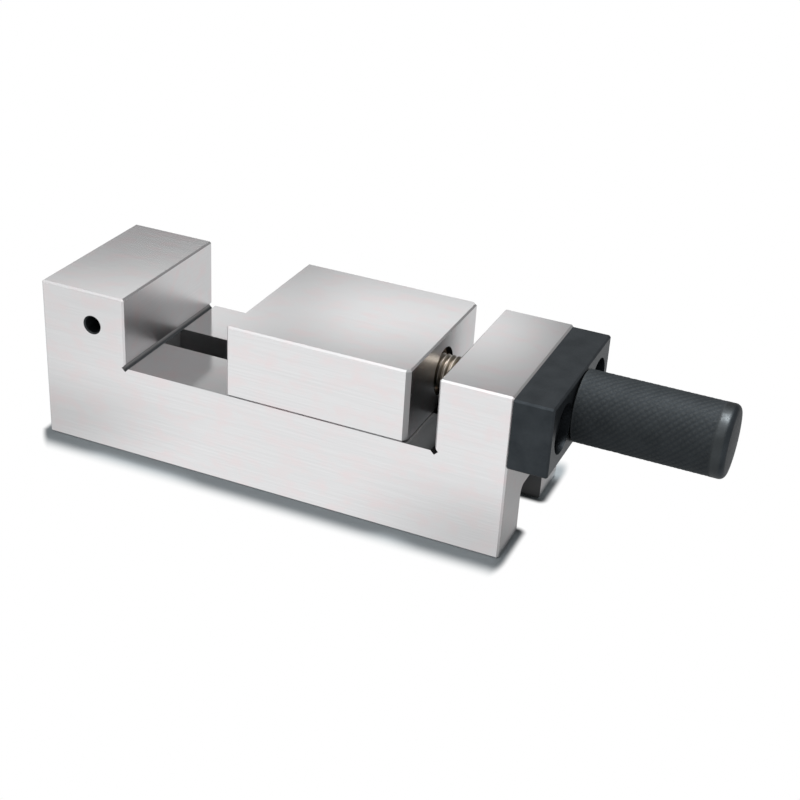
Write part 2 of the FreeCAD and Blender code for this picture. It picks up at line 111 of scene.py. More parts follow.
# Sizes of the turned pieces that no box gives, as in the part's source
SHAFT_RADIUS = 5.0 * MM
JOURNAL_RADIUS = 6.0 * MM
JOURNAL_INSET = 1.0 * MM
JOURNAL_BREAK = 0.3 * MM
COLLAR_RADIUS = 8.0 * MM
COLLAR_THICKNESS = 4.0 * MM
WASHER_THICKNESS = 1.0 * MM
END_FLOAT = 0.02 * MM
HANDLE_BORE_RADIUS = 5.01 * MM
HANDLE_BORE_DEPTH = 26.5 * MM
PIN_RADIUS = 1.5 * MM
EDGE_BREAK = 0.5 * MM

# The broken edges of the collar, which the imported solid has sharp
COLLAR_BREAK = 0.2 * MM

# A metric thread's depth, as a share of its pitch
THREAD_DEPTH = 0.6134


def linear(code):
    """The linear colour of an sRGB hex code such as C8C6C3."""
    parts = [int(code[i:i + 2], 16) / 255 for i in (0, 2, 4)]
    return [c / 12.92 if c <= 0.04045 else ((c + 0.055) / 1.055) ** 2.4 for c in parts]


# Sizes and colours that a user would change

class ViseHandleSizes(bpy.types.PropertyGroup):
    lines: IntProperty(
        name="Lines around", description="Knurled grooves of one hand around the handle",
        default=31, min=12)
    depth: FloatProperty(
        name="Groove depth", description="Depth of the knurl below the handle's outer radius",
        default=0.11 * MM, min=0.0, unit="LENGTH", precision=5)
    second_share: FloatProperty(
        name="Second set", description="Depth of the other hand's grooves as a share of that depth",
        default=0.6, min=0.0, max=1.0)
    slant: FloatProperty(
        name="Slant", description="Angle between a groove and the handle's axis",
        default=math.radians(45), unit="ROTATION")
    rounding: FloatProperty(
        name="Rounding", description="Radius of the rounded edge at the free end",
        default=1.7 * MM, min=0.0, unit="LENGTH", precision=5)
    plain_end: FloatProperty(
        name="Plain end", description="Length of the smooth band at the free end, rounding included",
        default=3.9 * MM, min=0.0, unit="LENGTH")
    plain_front: FloatProperty(
        name="Plain front", description="Length of the smooth band next to the plate",
        default=0.3 * MM, min=0.0, unit="LENGTH")
    runout: FloatProperty(
        name="Run-out", description="Length over which the grooves fade at both ends",
        default=0.5 * MM, min=0.0, unit="LENGTH")


class ViseScrewSizes(bpy.types.PropertyGroup):
    pitch: FloatProperty(
        name="Pitch", description="Travel of the jaw for one turn, from the packed coupling",
        default=PITCH, unit="LENGTH", precision=5)
    depth: FloatProperty(
        name="Thread depth", description="From the crest to the root of the thread",
        default=THREAD_DEPTH * PITCH, unit="LENGTH", precision=5)
    sides: IntProperty(
        name="Sides", description="Facets around the screw", default=48, min=12)
    undercut: FloatProperty(
        name="Undercut", description="Plain length between the thread and the journal",
        default=1.5 * MM, unit="LENGTH")


class ViseFinishes(bpy.types.PropertyGroup):
    ground: FloatVectorProperty(
        name="Ground steel", description="Surface-ground hardened steel", subtype="COLOR",
        size=3, default=linear("E5E5E6"), min=0, max=1)
    ground_shade: FloatVectorProperty(
        name="Ground steel, shade", description="The darker strokes of the grinding wheel",
        subtype="COLOR", size=3, default=linear("E0E0E1"), min=0, max=1)
    ground_warm: FloatVectorProperty(
        name="Ground steel, warm", description="Faint warm blooms on the ground faces",
        subtype="COLOR", size=3, default=linear("E7DEDF"), min=0, max=1)
    # The dark skin of hardening, darkened further as painted shade for the slot, the channel, the bores,
    # the reliefs and the gap behind the jaw
    milled_and_shade: FloatVectorProperty(
        name="Milled steel", description="What the wheel doesn't reach, left dark by hardening",
        subtype="COLOR", size=3, default=linear("404446"), min=0, max=1)
    blackened: FloatVectorProperty(
        name="Black oxide", description="Hot blackened steel", subtype="COLOR",
        size=3, default=linear("3B4044"), min=0, max=1)
    blackened_shade: FloatVectorProperty(
        name="Black oxide, shade", description="Deeper patches of the blackening",
        subtype="COLOR", size=3, default=linear("31363A"), min=0, max=1)
    worn: FloatVectorProperty(
        name="Worn crests", description="Knurl crests polished by fingers", subtype="COLOR",
        size=3, default=linear("474A4B"), min=0, max=1)
    turned: FloatVectorProperty(
        name="Turned steel", description="Crests and journals of the screw", subtype="COLOR",
        size=3, default=linear("DDD6CC"), min=0, max=1)
    # The colour of the thread's roots, darker and browner than the crests
    root_tone: FloatVectorProperty(
        name="Oiled roots", description="Old oil in the roots of the thread", subtype="COLOR",
        size=3, default=linear("9A9186"), min=0, max=1)
    # The bronze colours are darkened as painted shade for the nut's face, which sits deep in the jaw's bore
    bronze: FloatVectorProperty(
        name="Bronze", description="Turned bearing bronze, darkened by oil", subtype="COLOR",
        size=3, default=linear("8A6C48"), min=0, max=1)
    bronze_shade: FloatVectorProperty(
        name="Bronze, shade", description="Tarnish on the bronze", subtype="COLOR",
        size=3, default=linear("5E4A33"), min=0, max=1)


class ViseStudio(bpy.types.PropertyGroup):
    lens: FloatProperty(
        name="Lens", description="Focal length of the camera in millimetres", default=67.48)
    camera_place: FloatVectorProperty(
        name="Camera place", description="Where the camera stands", subtype="TRANSLATION",
        size=3, default=(0.2156, -0.34885, 0.2298))
    camera_turn: FloatVectorProperty(
        name="Camera turn", description="The camera's turn about X, Y and Z", subtype="EULER",
        size=3, default=[math.radians(d) for d in (61.5074, -3.1596, 23.5850)])
    table: FloatVectorProperty(
        name="Table", description="The table's own colour, as the vise's shadow shows it",
        subtype="COLOR", size=3, default=linear("A9B1B5"), min=0, max=1)
    key_place: FloatVectorProperty(
        name="Key place", description="Where the key lamp hangs, above and a little behind",
        subtype="TRANSLATION", size=3, default=(0.17, 0.075, 0.72))
    key_size: FloatProperty(
        name="Key size", description="Side of the square key lamp", default=0.12, unit="LENGTH")
    key_power: FloatProperty(
        name="Key light", description="Power of the key lamp", default=4.5, unit="POWER")
    front_sky: FloatProperty(
        name="Front", description="Brightness of the room in front of the vise", default=0.08)
    back_sky: FloatProperty(
        name="Back", description="Brightness of the room behind the vise", default=0.3)
    front_panel: FloatProperty(
        name="Front panel", description="Added brightness of the panel high in front", default=2.3)
    strip: FloatProperty(
        name="Strip", description="Added brightness of the narrow strip low behind", default=1.75)
    surroundings: FloatProperty(
        name="Surroundings", description="Brightness of the rest of the room as the metal mirrors it",
        default=0.7)


class ViseSettings(bpy.types.PropertyGroup):
    handle: PointerProperty(type=ViseHandleSizes, name="Handle", description="Sizes of the knurl")
    screw: PointerProperty(type=ViseScrewSizes, name="Screw", description="Sizes of the thread")
    finishes: PointerProperty(type=ViseFinishes, name="Finishes", description="Colours")
    studio: PointerProperty(type=ViseStudio, name="Studio", description="Camera and lamps")


# Node trees

# The kinds of node that most of the trees need, and a Map Range node's soft ends
MATH = "ShaderNodeMath"
RANGE = "ShaderNodeMapRange"
MIX = "ShaderNodeMix"
PARTS = "ShaderNodeSeparateXYZ"
SOFT = "SMOOTHSTEP"


def set_inputs(tree, node, inputs):
    """Sets inputs by name or number. It links a socket, or a node's first output, and sets a value."""
    for name, value in inputs.items():
        if isinstance(value, bpy.types.Node):
            value = value.outputs[0]
        if isinstance(value, bpy.types.NodeSocket):
            tree.links.new(value, node.inputs[name])
        else:
            node.inputs[name].default_value = value


def add_node(tree, kind, inputs=(), **settings):
    """Adds a node with its settings, and its inputs in order or by name."""
    node = tree.nodes.new(kind)
    for name, value in settings.items():
        setattr(node, name, value)
    set_inputs(tree, node, inputs if isinstance(inputs, dict) else dict(enumerate(inputs)))
    return node


def product(tree, *values):
    """All the values multiplied, which also tells where several masks meet."""
    result = values[0]
    for value in values[1:]:
        result = add_node(tree, MATH, (result, value), operation="MULTIPLY")
    return result


def largest(tree, *values):
    """The largest of the values, which also joins several masks."""
    result = values[0]
    for value in values[1:]:
        result = add_node(tree, MATH, (result, value), operation="MAXIMUM")
    return result


def distance(tree, value, middle):
    """How far value lies from middle, to either side."""
    off = add_node(tree, MATH, (value, middle), operation="SUBTRACT")
    return add_node(tree, MATH, (off,), operation="ABSOLUTE")


def between(tree, value, low, high):
    """One where value lies between low and high, and zero elsewhere."""
    above = add_node(tree, MATH, (value, low), operation="GREATER_THAN")
    below = add_node(tree, MATH, (value, high), operation="LESS_THAN")
    return product(tree, above, below)


def soft_mask(tree, *edges):
    """One inside soft edges and zero outside. An edge gives a value, and where it is zero and one."""
    return product(tree, *[add_node(tree, RANGE, edge, interpolation_type=SOFT) for edge in edges])


def length_of(tree, first, second):
    """The length of the flat vector with these two parts."""
    squares = [add_node(tree, MATH, (part, part), operation="MULTIPLY") for part in (first, second)]
    both = add_node(tree, MATH, squares, operation="ADD")
    return add_node(tree, MATH, (both,), operation="SQRT")


def off_axis(tree, spot):
    """How far a point lies from the screw's axis. spot gives its three coordinates."""
    up = add_node(tree, MATH, (spot["Z"], SCREW_Z), operation="SUBTRACT")
    return length_of(tree, spot["Y"], up)


def colour(value):
    """A colour with its alpha, as the sockets take it."""
    return (*value, 1.0)


def new_material(name, metallic, roughness):
    """A material with one Principled shader. Gives the material, its tree, the shader and places."""
    material = bpy.data.materials.new(name)
    material.use_nodes = True
    tree = material.node_tree
    shader = tree.nodes["Principled BSDF"]
    shader.inputs["Metallic"].default_value = metallic
    shader.inputs["Roughness"].default_value = roughness
    places = add_node(tree, "ShaderNodeTexCoord").outputs
    return material, tree, shader, places


def grain(tree, place, size, detail=2.0):
    """Noise on object coordinates. size gives the grain's length along X, Y and Z in metres."""
    mapped = add_node(tree, "ShaderNodeMapping", {"Vector": place, "Scale": [1 / s for s in size]})
    return add_node(tree, "ShaderNodeTexNoise", {"Vector": mapped, "Scale": 1.0, "Detail": detail})


# Finishes

def skin_and_shade_share(tree, spot, facing, squareness, in_hole):
    """How much dark skin and painted shade a place gets, from 0 on the ground faces to 1.

    spot and facing give the place and the way that its face looks, squareness the latter without signs.
    """
    end_on, side_on, _ = squareness
    height = distance(tree, spot["Z"], BED_HEIGHT)

    # The slot and the channel below the bed, dark partly with skin and partly with painted shade, the
    # channel most
    in_slot = product(
        tree,
        between(tree, spot["X"], -PAST_END, POST_FRONT + PAST_END),
        between(tree, spot["Y"], -SLOT_HALF - PAST_CUT, SLOT_HALF + PAST_CUT),
        between(tree, spot["Z"], ON_FACE, BED_HEIGHT - ON_FACE))
    in_channel = product(
        tree,
        between(tree, spot["X"], -PAST_END, POST_REAR - ON_FACE),
        between(tree, spot["Y"], -CHANNEL_HALF - PAST_CUT, CHANNEL_HALF + PAST_CUT),
        between(tree, spot["Z"], ON_FACE, CHANNEL_HEIGHT + PAST_CUT))

    # The bores around the screw's axis
    in_bore = product(
        tree,
        add_node(tree, MATH, (off_axis(tree, spot), WIDEST_BORE + PAST_CUT), operation="LESS_THAN"),
        between(tree, facing["X"], -0.5, 0.5))

    # The reliefs, square in section and on edge, at the foot of the fixed jaw and of the post
    in_reliefs = []
    for foot in (0.0, POST_FRONT):
        reach = add_node(tree, MATH, (distance(tree, spot["X"], foot), height), operation="ADD")
        in_reliefs.append(add_node(
            tree, MATH, (reach, RELIEF_REACH + PAST_RELIEF), operation="LESS_THAN"))
    # The front one is painted darker towards its bottom, as painted shade deep in the groove.
    shade_deeper_down = add_node(tree, RANGE, (spot["Z"], BED_HEIGHT - 0.2 * MM, BED_HEIGHT - 0.7 * MM, 0.6, 1.3))

    # The front of the post, which nothing touches, and the bed before it, where the wheel runs out,
    # painted dark both as skin and as painted shade in the gap behind the jaw
    on_post = product(
        tree,
        between(tree, spot["X"], POST_FRONT - ON_FACE, POST_FRONT + ON_FACE),
        add_node(tree, MATH, (spot["Z"], BED_HEIGHT), operation="GREATER_THAN"))
    at_foot = product(
        tree,
        soft_mask(tree, (spot["X"], RUN_OUT_SHADE_START, RUN_OUT_SHADE_END)),
        add_node(tree, MATH, (height, ON_FACE), operation="LESS_THAN"),
        add_node(tree, MATH, (facing["Z"], 0.9), operation="GREATER_THAN"))

    # The upright bevels at the back of the jaw, painted dark partly as skin and partly as painted shade
    on_bevel = product(
        tree,
        between(tree, spot["X"], JAW_REAR - JAW_REAR_BREAK - PAST_CUT, JAW_REAR + PAST_END),
        between(tree, side_on, 0.3, 0.9),
        between(tree, end_on, 0.3, 0.9))

    # The share of dark colour in each, skin and painted shade together, fitted to how dark it looks
    return largest(
        tree,
        in_hole,
        in_bore,
        on_post,
        product(tree, in_slot, 0.55),
        product(tree, in_channel, 0.8),
        product(tree, in_reliefs[0], shade_deeper_down, 0.75),
        product(tree, in_reliefs[1], 0.75),
        product(tree, on_bevel, 0.62),
        product(tree, at_foot, 0.9))


def ground_steel(finishes):
    """Hardened tool steel off a surface grinder: fine straight strokes, almost white, softly mirroring.

    The strokes run along the vise, and on the faces square to its length they run across. The wheel's
    own strokes are under 0.05 mm apart, too fine to show, so they are drawn 0.3 mm apart and faint.
    What the wheel doesn't reach keeps the dark skin of hardening: the slot, the channel, the bores, the
    reliefs in the inside corners, the post's front with the bed's last millimetres before it, and the
    upright bevels at the back of the jaw. Their dark colour also holds painted shade, deeper than the
    skin alone. The bevels along the sides are broken with a stone by hand, which leaves them duller.
    """
    material, tree, shader, places = new_material("ground_tool_steel", 1.0, 0.2)
    place = places["Object"]
    spot = add_node(tree, PARTS, (place,)).outputs
    facing = add_node(tree, PARTS, (places["Normal"],)).outputs
    squareness = [add_node(tree, MATH, (facing[axis],), operation="ABSOLUTE") for axis in "XYZ"]
    end_on, side_on, _ = squareness
    is_end = add_node(tree, MATH, (end_on, 0.8), operation="GREATER_THAN")

    along = grain(tree, place, (25 * MM, 0.3 * MM, 0.3 * MM), detail=3.0)
    across = grain(tree, place, (0.3 * MM, 25 * MM, 0.3 * MM), detail=3.0)
    strokes = add_node(tree, MIX, {0: is_end, 2: along, 3: across})
    in_stroke = add_node(tree, RANGE, (strokes, 0.35, 0.65))
    steel = add_node(tree, MIX, {
        0: in_stroke, 6: colour(finishes.ground_shade), 7: colour(finishes.ground)},
        data_type="RGBA").outputs[2]
    blooms = grain(tree, place, (7 * MM, 5 * MM, 5 * MM), detail=3.0)
    in_bloom = add_node(tree, RANGE, (blooms, 0.45, 0.75))
    steel = add_node(tree, MIX, {
        0: in_bloom, 6: steel, 7: colour(finishes.ground_warm)}, data_type="RGBA").outputs[2]

    # The tapped hole in the near side of the fixed jaw shows its thread as rings 1 mm apart, which
    # stand 80 times as high as the strokes.
    from_middle = length_of(
        tree, distance(tree, spot["X"], STOP_HOLE[0]), distance(tree, spot["Z"], STOP_HOLE[2]))
    in_hole = product(
        tree,
        add_node(tree, MATH, (from_middle, STOP_HOLE_MOUTH), operation="LESS_THAN"),
        add_node(tree, MATH, (spot["Y"], -CHANNEL_HALF), operation="LESS_THAN"))
    rings = add_node(tree, MATH, (product(tree, spot["Y"], 2 * math.pi / MM),), operation="SINE")
    ridges = product(tree, rings, in_hole, 80.0)

    dark = skin_and_shade_share(tree, spot, facing, squareness, in_hole)
    finish = add_node(tree, MIX, {
        0: dark, 6: steel, 7: colour(finishes.milled_and_shade)}, data_type="RGBA").outputs[2]

    # The faces square to the length, all but the rear one, are ground across and are duller. The skin
    # with its painted shade, and the stoned bevels, are duller still.
    ground_across = product(tree, is_end, add_node(tree, RANGE, (spot["X"], 0.1, 0.11, 1.0, 0.0)))
    on_stoned = product(
        tree,
        add_node(tree, MATH, (largest(tree, *squareness), 0.95), operation="LESS_THAN"),
        add_node(tree, MATH, (dark, 0.1), operation="LESS_THAN"),
        add_node(tree, MATH, (side_on, 0.3), operation="GREATER_THAN"))
    rough = add_node(tree, RANGE, (strokes, 0.3, 0.7, 0.125, 0.145))
    for duller, by in ((ground_across, 0.18), (dark, 0.4), (on_stoned, 0.42)):
        rough = add_node(tree, MATH, (rough, product(tree, duller, by)), operation="ADD")

    bump = add_node(tree, "ShaderNodeBump", {
        "Height": add_node(tree, MATH, (strokes, ridges), operation="ADD"),
        "Strength": 0.003,
        "Distance": 0.05 * MM})
    set_inputs(tree, shader, {"Base Color": finish, "Roughness": rough, "Normal": bump})
    return material


def black_oxide(finishes, crest_radius=None, knurl_end=None):
    """Hot blackened steel: a soft grey black with a satin sheen and cloudy patches.

    With crest_radius the crests at that radius from the screw's axis are worn paler, and the skin is
    duller up to knurl_end, where the smooth end of the handle begins.
    """
    name = "blackened_knurled_steel" if crest_radius else "blackened_machined_steel"
    material, tree, shader, places = new_material(name, 0.85, 0.42)
    place = places["Object"]
    clouds = grain(tree, place, (6 * MM, 6 * MM, 6 * MM), detail=4.0)
    specks = grain(tree, place, (0.4 * MM, 0.4 * MM, 0.4 * MM))
    in_cloud = add_node(tree, RANGE, (clouds, 0.35, 0.65))
    base = add_node(tree, MIX, {
        0: in_cloud, 6: colour(finishes.blackened_shade), 7: colour(finishes.blackened)},
        data_type="RGBA").outputs[2]
    rough = add_node(tree, RANGE, (specks, 0.3, 0.7, 0.37, 0.49))
    if crest_radius:
        # Seen along the wall the crests shade one another, so it gleams less at the handle's edges.
        shader.inputs["Specular Tint"].default_value = (0.57, 0.57, 0.57, 1.0)
        spot = add_node(tree, PARTS, (place,)).outputs
        on_crest = add_node(tree, RANGE, (
            off_axis(tree, spot), crest_radius - 0.12 * MM, crest_radius, 0.0, 0.6))
        base = add_node(tree, MIX, {
            0: on_crest, 6: base, 7: colour(finishes.worn)}, data_type="RGBA").outputs[2]
        on_knurl = add_node(tree, RANGE, (spot["X"], knurl_end, knurl_end + 0.5 * MM, 0.28, 0.0))
        rough = add_node(tree, MATH, (rough, on_knurl), operation="ADD")
    bump = add_node(tree, "ShaderNodeBump", {"Height": specks, "Strength": 0.08, "Distance": 0.05 * MM})
    set_inputs(tree, shader, {"Base Color": base, "Roughness": rough, "Normal": bump})
    return material


def turned_steel(finishes, crest_radius=None):
    """Bright steel from the lathe, lightly oiled: fine rings around the screw's axis.

    With crest_radius the thread's roots, which lie deeper, are darker and browner. The tool's own rings
    are 0.1 mm apart and are drawn 0.3 mm apart.
    """
    name = "oiled_threaded_steel" if crest_radius else "turned_bright_steel"
    material, tree, shader, places = new_material(name, 1.0, 0.28)
    place = places["Object"]
    rings = grain(tree, place, (0.3 * MM, 20 * MM, 20 * MM))
    in_ring = add_node(tree, RANGE, (rings, 0.3, 0.7))
    base = add_node(tree, MIX, {
        0: in_ring, 6: colour([c * 0.82 for c in finishes.turned]), 7: colour(finishes.turned)},
        data_type="RGBA").outputs[2]
    if crest_radius:
        spot = add_node(tree, PARTS, (place,)).outputs
        on_crest = add_node(tree, RANGE, (
            off_axis(tree, spot), crest_radius - 0.8 * MM, crest_radius - 0.1 * MM))
        base = add_node(tree, MIX, {
            0: on_crest, 6: colour(finishes.root_tone), 7: base}, data_type="RGBA").outputs[2]
    rough = add_node(tree, RANGE, (rings, 0.3, 0.7, 0.32, 0.44))
    set_inputs(tree, shader, {"Base Color": base, "Roughness": rough})
    return material


def bearing_bronze(finishes):
    """Turned bearing bronze with a brown tarnish and the lathe's rings, drawn 0.3 mm apart."""
    # The bronze colours are darkened as painted shade for the nut's face, deep in the jaw's bore.
    material, tree, shader, places = new_material("turned_bearing_bronze", 1.0, 0.32)
    rings = grain(tree, places["Object"], (0.3 * MM, 15 * MM, 15 * MM))
    tarnish = grain(tree, places["Object"], (3 * MM, 3 * MM, 3 * MM), detail=3.0)
    bare = add_node(tree, RANGE, (tarnish, 0.35, 0.65))
    base = add_node(tree, MIX, {
        0: bare, 6: colour(finishes.bronze_shade), 7: colour(finishes.bronze)},
        data_type="RGBA").outputs[2]
    rough = add_node(tree, RANGE, (rings, 0.3, 0.7, 0.26, 0.4))
    set_inputs(tree, shader, {"Base Color": base, "Roughness": rough})
    return material


def give_finish(names, material):
    """Puts one material on every slot of the named CAD pieces."""
    for name in names:
        slots = nodes[name].material_slots
        if not slots:
            raise RuntimeError("%s has no material slot" % name)
        for slot in slots:
            slot.material = material


# Turned pieces

def new_object(name, data):
    """An object in the scene for a mesh, a lamp or a camera."""
    made = bpy.data.objects.new(name, data)
    bpy.context.scene.collection.objects.link(made)
    return made


def turned(name, outlines, sides):
    """A mesh object turned about the screw's axis. An outline gives pairs of X and radius, in order.

    The first corner of each ring is at +Y. A point on the axis closes its outline's end.
    """
    shape = bmesh.new()
    for outline in outlines:
        rings = []
        for along, radius in outline:
            if radius == 0.0:
                rings.append([shape.verts.new((along, 0, SCREW_Z))])
                continue
            turns = [2 * math.pi * i / sides for i in range(sides)]
            rings.append([
                shape.verts.new((along, radius * math.cos(turn), SCREW_Z + radius * math.sin(turn)))
                for turn in turns])
        for first, second in zip(rings, rings[1:]):
            for i in range(sides):
                j = (i + 1) % sides
                if len(first) == 1:
                    shape.faces.new((first[0], second[j], second[i]))
                elif len(second) == 1:
                    shape.faces.new((first[i], first[j], second[0]))
                else:
                    shape.faces.new((first[i], first[j], second[j], second[i]))
    bmesh.ops.recalc_face_normals(shape, faces=shape.faces)
    mesh = bpy.data.meshes.new(name)
    shape.to_mesh(mesh)
    shape.free()
    return new_object(name, mesh)


def new_tree(name, numbers, counts=()):
    """An empty geometry tree with a Geometry input and output, and inputs for numbers and counts."""
    tree = bpy.data.node_groups.new(name, "GeometryNodeTree")
    tree.interface.new_socket("Geometry", in_out="INPUT", socket_type="NodeSocketGeometry")
    for label in numbers:
        tree.interface.new_socket(label, in_out="INPUT", socket_type="NodeSocketFloat")
    for label in counts:
        tree.interface.new_socket(label, in_out="INPUT", socket_type="NodeSocketInt")
    tree.interface.new_socket("Geometry", in_out="OUTPUT", socket_type="NodeSocketGeometry")
    return tree, add_node(tree, "NodeGroupInput").outputs


def end_tree(tree, geometry, material):
    """Realizes what the tree made, gives it its material and passes it on."""
    real = add_node(tree, "GeometryNodeRealizeInstances", (geometry,))
    done = add_node(tree, "GeometryNodeSetMaterial", {0: real, "Material": material})
    add_node(tree, "NodeGroupOutput", (done,))


def apply_modifiers(piece):
    """Leaves the piece as a plain mesh of what its modifiers make."""
    bpy.context.view_layer.update()
    evaluated = piece.evaluated_get(bpy.context.evaluated_depsgraph_get())
    plain = bpy.data.meshes.new_from_object(evaluated)
    piece.modifiers.clear()
    plain.name = piece.name
    piece.data = plain


def apply_tree(piece, tree, values):
    """Runs the tree on the piece with its named inputs."""
    modifier = piece.modifiers.new(tree.name, "NODES")
    modifier.node_group = tree
    for item in tree.interface.items_tree:
        if item.in_out == "INPUT" and item.name in values:
            modifier[item.identifier] = values[item.name]
    apply_modifiers(piece)


def around_axis(tree, place):
    """X, the turn in whole turns from +Y towards +Z, and the radius about the screw's axis."""
    spot = add_node(tree, PARTS, (place,)).outputs
    up = add_node(tree, MATH, (spot["Z"], SCREW_Z), operation="SUBTRACT")
    angle = add_node(tree, MATH, (up, spot["Y"]), operation="ARCTAN2")
    turn = add_node(tree, MATH, (angle, 2 * math.pi), operation="DIVIDE")
    return spot["X"], turn, off_axis(tree, spot)


def placed_at(tree, along, turn, radius):
    """The point at X, a turn and a radius about the screw's axis."""
    angle = product(tree, turn, 2 * math.pi)
    across = product(tree, radius, add_node(tree, MATH, (angle,), operation="COSINE"))
    up = product(tree, radius, add_node(tree, MATH, (angle,), operation="SINE"))
    height = add_node(tree, MATH, (up, SCREW_Z), operation="ADD")
    return add_node(tree, "ShaderNodeCombineXYZ", (along, across, height))


def knurl_tree(material):
    """Presses a diamond knurl into the outer wall of a turned piece.

    Two sets of grooves cross at the slant to either side, the second set shallower, as two wheels
    leave them. A groove is widest at the wall and narrows to its bottom, so the crests are small
    pyramids with flat tops.
    """
    tree, given = new_tree("diamond_knurl", (
        "Lines around", "Groove depth", "Second set", "Lead", "Start", "End", "Run-out",
        "Outer radius"))
    along, turn, radius = around_axis(tree, add_node(tree, "GeometryNodeInputPosition"))
    around = product(tree, turn, given["Lines around"])
    from_start = add_node(tree, MATH, (along, given["Start"]), operation="SUBTRACT")
    forward = add_node(tree, MATH, (from_start, given["Lead"]), operation="DIVIDE")
    sinks = []
    for hand, share in (("ADD", 1.0), ("SUBTRACT", given["Second set"])):
        lines_passed = add_node(tree, MATH, (around, forward), operation=hand)
        off_groove = add_node(tree, MATH, (lines_passed, 0.5), operation="PINGPONG")
        in_groove = add_node(tree, RANGE, (off_groove, 0.0, 0.4, 1.0, 0.0))
        sinks.append(product(tree, in_groove, share))
    to_end = add_node(tree, MATH, (given["End"], along), operation="SUBTRACT")
    from_edge = add_node(tree, MATH, (from_start, to_end), operation="MINIMUM")
    inside = add_node(tree, RANGE, (from_edge, 0.0, given["Run-out"]))
    bore_side = product(tree, given["Outer radius"], 0.9)
    on_wall = add_node(tree, MATH, (radius, bore_side), operation="GREATER_THAN")
    sink = product(tree, largest(tree, *sinks), given["Groove depth"], inside, on_wall)
    sunk = add_node(tree, MATH, (radius, sink), operation="SUBTRACT")
    pressed = add_node(tree, "GeometryNodeSetPosition", {
        0: given["Geometry"], "Position": placed_at(tree, along, turn, sunk)})
    end_tree(tree, pressed, material)
    return tree


def divided(tree, number, step):
    """A whole number divided by a step: the whole result and the rest."""
    halfway = add_node(tree, MATH, (number, 0.5), operation="ADD")
    share = add_node(tree, MATH, (halfway, step), operation="DIVIDE")
    whole = add_node(tree, MATH, (share,), operation="FLOOR")
    rest = add_node(tree, MATH, (number, product(tree, whole, step)), operation="SUBTRACT")
    return whole, rest


def thread_tree(material):
    """Winds a left-hand thread between two rings of a turned piece, and joins it to them.

    A flat grid is wrapped around the axis. Its rows are sheared by one pitch a turn, so each row is a
    helix along a root's edge or a crest's edge, and rows past an end gather in that end's ring.
    """
    tree, given = new_tree(
        "left_hand_thread", ("Start", "End", "Pitch", "Crest radius", "Thread depth"), ("Sides",))
    start, end, pitch = given["Start"], given["End"], given["Pitch"]
    length = add_node(tree, MATH, (end, start), operation="SUBTRACT")
    pitches = add_node(tree, MATH, (length, pitch), operation="DIVIDE")
    turns = add_node(tree, MATH, (pitches,), operation="CEIL")
    rows = product(tree, add_node(tree, MATH, (turns, 1.0), operation="ADD"), 4.0)
    columns = add_node(tree, MATH, (given["Sides"], 1.0), operation="ADD")
    sheet = add_node(tree, "GeometryNodeMeshGrid", {"Vertices X": columns, "Vertices Y": rows})
    column, row = divided(tree, add_node(tree, "GeometryNodeInputIndex"), rows)
    turn = add_node(tree, MATH, (column, given["Sides"]), operation="DIVIDE")
    whole, corner = divided(tree, row, 4.0)

    # The metric profile: a quarter of the pitch is root, an eighth is crest, the flanks share the rest.
    share = whole
    for number, width in ((0.5, 0.25), (1.5, 0.3125), (2.5, 0.125)):
        passed = add_node(tree, MATH, (corner, number), operation="GREATER_THAN")
        share = add_node(tree, MATH, (share, product(tree, passed, width)), operation="ADD")
    is_crest = add_node(tree, MATH, (corner, 1.5), operation="GREATER_THAN")
    sheared = add_node(tree, MATH, (share, turn), operation="SUBTRACT")
    along = add_node(tree, MATH, (start, product(tree, sheared, pitch)), operation="ADD")
    inside = add_node(tree, MATH, (largest(tree, along, start), end), operation="MINIMUM")

    # The crests sink to the root over half a pitch at both ends.
    from_start = add_node(tree, MATH, (inside, start), operation="SUBTRACT")
    to_end = add_node(tree, MATH, (end, inside), operation="SUBTRACT")
    from_edge = add_node(tree, MATH, (from_start, to_end), operation="MINIMUM")
    full = add_node(tree, RANGE, (from_edge, 0.0, product(tree, pitch, 0.5)))
    hollow = add_node(tree, MATH, (1.0, product(tree, is_crest, full)), operation="SUBTRACT")
    sink = product(tree, given["Thread depth"], hollow)
    radius = add_node(tree, MATH, (given["Crest radius"], sink), operation="SUBTRACT")
    wound = add_node(tree, "GeometryNodeSetPosition", {
        0: sheet, "Position": placed_at(tree, inside, turn, radius)})
    both = add_node(tree, "GeometryNodeJoinGeometry")
    tree.links.new(given["Geometry"], both.inputs[0])
    tree.links.new(wound.outputs[0], both.inputs[0])
    skin = add_node(tree, "GeometryNodeMergeByDistance", {0: both, "Distance": 1e-6})
    end_tree(tree, skin, material)
    return tree


def point_faces_outwards(piece):
    """Turns every face of a closed mesh to the outside and drops faces with no area."""
    shape = bmesh.new()
    shape.from_mesh(piece.data)
    bmesh.ops.dissolve_degenerate(shape, dist=1e-7, edges=shape.edges)
    bmesh.ops.recalc_face_normals(shape, faces=shape.faces)
    shape.to_mesh(piece.data)
    shape.free()


def smooth_by_angle(piece, degrees):
    """Smooth shading, with edges sharper than the angle left hard."""
    piece.data.shade_smooth()
    piece.data.set_sharp_from_angle(angle=math.radians(degrees))


